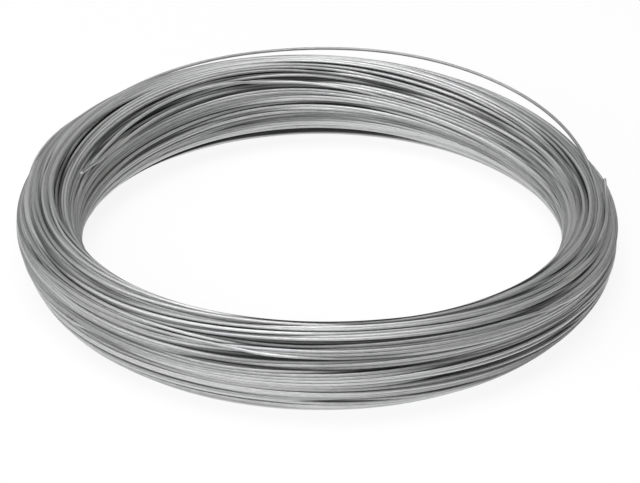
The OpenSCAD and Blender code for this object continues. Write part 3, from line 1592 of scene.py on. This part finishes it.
@dataclass
class WireCoil:
    """The coil: its wound turns, its cut ends and the core they hide.

    Args:
        form: outline of the bundle.
        wire_d: diameter of the wire.
        grooves: the strongest dark lines.
        calms: the patches where dark lines fade.
        shade_patches: where shade is painted on the zinc.
        rides: the turns that ride over others.
        cut_ends: the cut ends.
        loose_turns: how many more turns ride over others, at random places.
        loose_drift: the least and the most that they go round the section, in degrees.
        loose_span: the least and the most angle that they run over.
        loose_side: the angles round the section between which they start.
        faint_lines: how many fainter dark lines there are.
        faint_places: how many places round the section they are shared out among.
        faint_off: how far off its place a line lies at most, as a share of their spacing.
        faint_width: the least and the most that their edges are pushed apart, in millimetres.
        faint_sink: the least and the most that they are deep, in millimetres.
        faint_drift: how far they go round the section at most, in degrees.
        faint_span: the least and the most angle that they run over.
        seed: seed of the faint lines and of the loose turns.
        finish: finish of the wire.
    """

    form: BundleForm
    wire_d: float = 1.6 * MM
    grooves: Sequence[Groove] = ()
    calms: Sequence[Calm] = ()
    shade_patches: Sequence[PaintedShade] = ()
    rides: Sequence[Ride] = ()
    cut_ends: Sequence[CutEnd] = ()
    loose_turns: int = 4
    loose_drift: tuple = (6, 16)
    loose_span: tuple = (90, 170)
    loose_side: tuple = (-40, 220)
    faint_lines: int = 72
    faint_places: int = 28
    faint_off: float = 0.3
    faint_width: tuple = (0.4, 1.0)
    faint_sink: tuple = (0.6, 1.7)
    faint_drift: float = 6
    faint_span: tuple = (70, 190)
    seed: int = 5
    finish: ZincFinish = ZincFinish()

    def loose_rides(self, rng: np.random.Generator) -> list[Ride]:
        """Puts rides at random places, since loose turns cross each other all round a coil.

        Args:
            rng: source of the places.

        Returns:
            The rides.
        """
        rides = []
        for _ in range(self.loose_turns):
            drift = rng.uniform(*self.loose_drift) * rng.choice([-1, 1])
            start, span = rng.uniform(0, 360), rng.uniform(*self.loose_span)
            side = rng.uniform(*self.loose_side)
            rides.append(Ride(start=start, span=span, side=side, drift=drift))
        return rides

    def faint_grooves(self, rng: np.random.Generator) -> list[Groove]:
        """Puts fainter dark lines all over.

        Args:
            rng: source of their places.

        Returns:
            The lines.
        """
        grooves = []
        for line in range(self.faint_lines):
            off = rng.uniform(-self.faint_off, self.faint_off)
            side = (line % self.faint_places + off) * 360 / self.faint_places
            width, sink = rng.uniform(*self.faint_width) * MM, rng.uniform(*self.faint_sink) * MM
            drift = rng.uniform(-self.faint_drift, self.faint_drift)
            at, span = rng.uniform(0, 360), rng.uniform(*self.faint_span)
            grooves.append(Groove(at=at, span=span, side=side, width=width, sink=sink, drift=drift))
        return grooves

    def wound(self, rng: np.random.Generator) -> Winding:
        """Winds the wire and lets it settle.

        Args:
            rng: source of the faint lines and of the loose turns.

        Returns:
            The settled winding.
        """
        winding = Winding(
            self.form,
            self.wire_d,
            grooves=[*self.grooves, *self.faint_grooves(rng)],
            calms=self.calms,
            rides=[*self.rides, *self.loose_rides(rng)],
            cut_ends=self.cut_ends,
        )
        winding.lay()
        winding.settle()
        return winding

    def build(self) -> list[bpy.types.Object]:
        """Winds the wire and builds every piece of the coil.

        Returns:
            The pieces.
        """
        rng = np.random.default_rng(self.seed)
        winding = self.wound(rng)
        shown = ShownWire(winding, shade_patches=self.shade_patches)
        meshes = {side: WireMesh(self.wire_d) for side in Side}
        for run in shown.bundle_runs():
            meshes[Side.nearest(run.side)].add(run)
        ends = WireMesh(self.wire_d, sides=12)
        for run in shown.cut_end_runs():
            ends.add(run)
        zinc = self.finish.material(SLOT)
        pieces = [mesh.build(side.piece_name) for side, mesh in meshes.items()] + [ends.build("cut_ends")]
        for piece in pieces:
            piece.data.materials.append(zinc)
        pieces.append(Core(self.form).build(HiddenWireShade()))
        return pieces


@dataclass
class Studio:
    """Floor, lamps and surroundings.

    Args:
        floor_w: width of the floor.
        fill: strength of the light from all round.
        behind_range: how far back a direction points where that starts and stops fading.
        upward_range: how far up one points where the fading weakens and ends.
    """

    floor_w: float = 14.0
    fill: float = 0.06
    behind_range: tuple = (0.3, 1.0)
    upward_range: tuple = (0.3, 0.8)

    def build(self) -> None:
        """Builds them all."""
        self.floor()
        self.world()
        self.lamp("overhead_softbox", place=(0.0, 0.0, 2.4), size=(1.4, 1.4), power=36)
        self.lamp("high_left_softbox", place=(-1.05, -0.1, 2.0), size=(1.7, 1.7), power=12.5)
        self.lamp("left_softbox", place=(-1.8, -1.1, 1.0), size=(1.0, 0.8), power=12)
        self.lamp("front_softbox", place=(-0.4, -2.2, 1.6), size=(1.4, 0.8), power=24)

    def floor(self) -> None:
        """A plain pale floor."""
        bpy.ops.object.select_all(action="DESELECT")
        bpy.ops.mesh.primitive_plane_add(size=self.floor_w)
        floor = bpy.context.object
        floor.name = "floor"
        floor.data.materials.append(FloorFinish().material("pale_floor"))

    def world(self) -> None:
        """A little light from all round, but for behind the coil."""
        world = bpy.data.worlds.new("studio")
        bpy.context.scene.world = world
        tree = Tree(world)
        toward = tree.add("ShaderNodeTexCoord").out("Generated")
        split = tree.add("ShaderNodeSeparateXYZ", None, {"Vector": toward})
        upward = split.out("Z").between(*self.upward_range)
        behind = split.out("Y").between(*self.behind_range) * (1 - upward)
        sockets = {"Color": grey(1.0), "Strength": (1 - behind) * self.fill}
        back = tree.add("ShaderNodeBackground", None, sockets)
        tree.add("ShaderNodeOutputWorld", None, {"Surface": back.out("Background")})

    def lamp(self, name: str, place: Sequence[float], size: tuple[float, float], power: float) -> None:
        """Puts up a softbox that faces the coil.

        Args:
            name: its name.
            place: where it stands.
            size: its width and height.
            power: its power in watts.
        """
        light = bpy.data.lights.new(name, "AREA")
        light.shape = "RECTANGLE"
        light.size, light.size_y = size
        light.energy = power
        lamp = bpy.data.objects.new(name, light)
        bpy.context.scene.collection.objects.link(lamp)
        lamp.location = place
        lamp.rotation_euler = (-Vector(place)).to_track_quat("-Z", "Y").to_euler()


@dataclass(frozen=True)
class ProductCamera:
    """A camera that looks down on the coil from its front.

    Args:
        distance: how far it is from what it looks at.
        elevation: how far up it stands, in degrees.
        roll: how far it is turned about its own axis, in degrees.
        lens: its focal length in millimetres.
        sensor_w: width of its sensor in millimetres.
        shift_x: how far the picture is shifted sideways.
        shift_y: how far it is shifted up.
        aim_z: height of what it looks at.
    """

    distance: float = 1.24
    elevation: float = 30.97
    roll: float = 0.67
    lens: float = 133.2
    sensor_w: float = 36.0
    shift_x: float = -0.0039
    shift_y: float = -0.0347
    aim_z: float = 23.5 * MM

    def build(self) -> None:
        """Adds the camera and makes it the scene's own."""
        data = bpy.data.cameras.new("product_camera")
        data.lens = self.lens
        data.sensor_width = self.sensor_w
        data.shift_x, data.shift_y = self.shift_x, self.shift_y
        camera = bpy.data.objects.new("product_camera", data)
        bpy.context.scene.collection.objects.link(camera)
        lift = math.radians(self.elevation)
        camera.location = (0, -self.distance * math.cos(lift), self.aim_z + self.distance * math.sin(lift))
        turn = Matrix.Rotation(math.radians(90 - self.elevation), 4, "X")
        camera.rotation_euler = (turn @ Matrix.Rotation(math.radians(self.roll), 4, "Z")).to_euler()
        bpy.context.scene.camera = camera


GROOVES = (
    Groove(at=112, span=110, side=227, width=2.4 * MM, sink=3.2 * MM, drift=-8),
    Groove(at=128, span=80, side=181, width=1.4 * MM, sink=2.0 * MM, drift=-6),
    Groove(at=92, span=96, side=171, width=1.6 * MM, sink=2.2 * MM),
    Groove(at=100, span=70, side=193, width=1.4 * MM, sink=1.8 * MM),
    Groove(at=58, span=50, side=196, width=1.2 * MM, sink=1.6 * MM),
    Groove(at=50, span=50, side=178, width=1.2 * MM, sink=1.8 * MM),
    Groove(at=86, span=70, side=135, width=1.8 * MM, sink=2.4 * MM),
    Groove(at=124, span=70, side=148, width=1.6 * MM, sink=2.2 * MM, drift=10),
    Groove(at=132, span=60, side=133, width=1.8 * MM, sink=2.4 * MM, drift=10),
    Groove(at=150, span=56, side=139, width=1.8 * MM, sink=2.6 * MM, drift=6),
    Groove(at=146, span=56, side=126, width=1.8 * MM, sink=2.6 * MM, drift=6),
    Groove(at=97, span=40, side=120, width=1.4 * MM, sink=1.8 * MM),
    Groove(at=28, span=90, side=139, width=1.6 * MM, sink=2.2 * MM, drift=-8),
    Groove(at=34, span=70, side=150, width=1.4 * MM, sink=2.0 * MM),
    Groove(at=22, span=60, side=166, width=1.4 * MM, sink=2.0 * MM),
    Groove(at=20, span=70, side=122, width=1.6 * MM, sink=2.2 * MM, drift=-8),
    Groove(at=12, span=60, side=112, width=1.8 * MM, sink=2.4 * MM, drift=-8),
    Groove(at=14, span=60, side=101, width=1.8 * MM, sink=2.4 * MM, drift=-8),
    Groove(at=55, span=40, side=90, width=1.4 * MM, sink=1.8 * MM),
    Groove(at=302, span=80, side=111, width=1.0 * MM, sink=1.4 * MM),
    Groove(at=184, span=60, side=113, width=1.6 * MM, sink=2.2 * MM, drift=-10),
    Groove(at=188, span=56, side=101, width=1.8 * MM, sink=2.6 * MM, drift=-10),
    Groove(at=186, span=50, side=76, width=1.8 * MM, sink=2.6 * MM, drift=-8),
    Groove(at=194, span=50, side=55, width=1.8 * MM, sink=2.4 * MM, drift=-4),
    Groove(at=214, span=50, side=50, width=1.6 * MM, sink=2.2 * MM, drift=18),
    Groove(at=216, span=50, side=38, width=1.6 * MM, sink=2.4 * MM, drift=16),
    Groove(at=228, span=50, side=4, width=1.4 * MM, sink=2.0 * MM, drift=6),
    Groove(at=226, span=50, side=-15, width=1.4 * MM, sink=2.0 * MM, drift=-6),
    Groove(at=272, span=44, side=30, width=1.6 * MM, sink=2.2 * MM),
    Groove(at=272, span=90, side=15, width=2.0 * MM, sink=2.6 * MM),
    Groove(at=314, span=80, side=4, width=1.6 * MM, sink=2.2 * MM),
    Groove(at=296, span=76, side=88, width=1.4 * MM, sink=2.2 * MM, drift=-4),
    Groove(at=322, span=76, side=79, width=1.6 * MM, sink=2.2 * MM, drift=12),
    Groove(at=306, span=90, side=66, width=1.0 * MM, sink=1.4 * MM, drift=8),
    Groove(at=322, span=70, side=47, width=1.6 * MM, sink=2.2 * MM, drift=8),
    Groove(at=312, span=70, side=-13, width=2.4 * MM, sink=3.0 * MM),
    Groove(at=284, span=50, side=-38, width=2.0 * MM, sink=2.8 * MM),
)

CALMS = (Calm(at=240, span=44, side=100, reach=40),)

# Painted shade: at the foot of the bore at the back, along the inner rim at the front, and low on the outer
# side at the front right.
PAINTED_SHADES = (
    PaintedShade(at=118, span=84, side=-126, reach=9),
    PaintedShade(at=290, span=58, side=107, reach=7, dark=0.75, drift=5),
    PaintedShade(at=332, span=46, side=-46, reach=20, dark=0.34),
)

RIDES = (
    Ride(start=-10, span=166, side=72, drift=-8, lift=6.1 * MM, early=0.78),
    Ride(start=150, span=28, side=46, lift=0.5 * MM),
    Ride(start=168, span=110, side=20, drift=16),
    Ride(start=300, span=90, side=48, drift=-10),
)

CUT_ENDS = (
    CutEnd(start=163, span=12, side=148, drift=-13, lift=3.2 * MM),
    CutEnd(start=356, span=12, side=57, lift=4 * MM),
)


def main() -> None:
    """Builds the coil, its studio and its camera."""
    logging.basicConfig(level=logging.INFO, format="%(message)s")
    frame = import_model()
    low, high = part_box(NODE)
    mount = frame["record"]["mounts"][0]
    form = BundleForm(outer_r=(high.y - low.y) / 2, bore_r=mount["dims"]["r_mm"] * MM)
    scene = bpy.context.scene
    scene.view_settings.view_transform = "Standard"
    ProductCamera().build()
    Studio().build()
    coil = WireCoil(form, grooves=GROOVES, calms=CALMS, shade_patches=PAINTED_SHADES, rides=RIDES, cut_ends=CUT_ENDS)
    for piece in coil.build():
        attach(piece, "root")
        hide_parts(NODE)
        triangles = sum(len(face.vertices) - 2 for face in piece.data.polygons)
        LOG.info("%s: %d triangles", piece.name, triangles)


if __name__ == "__main__":
    main()
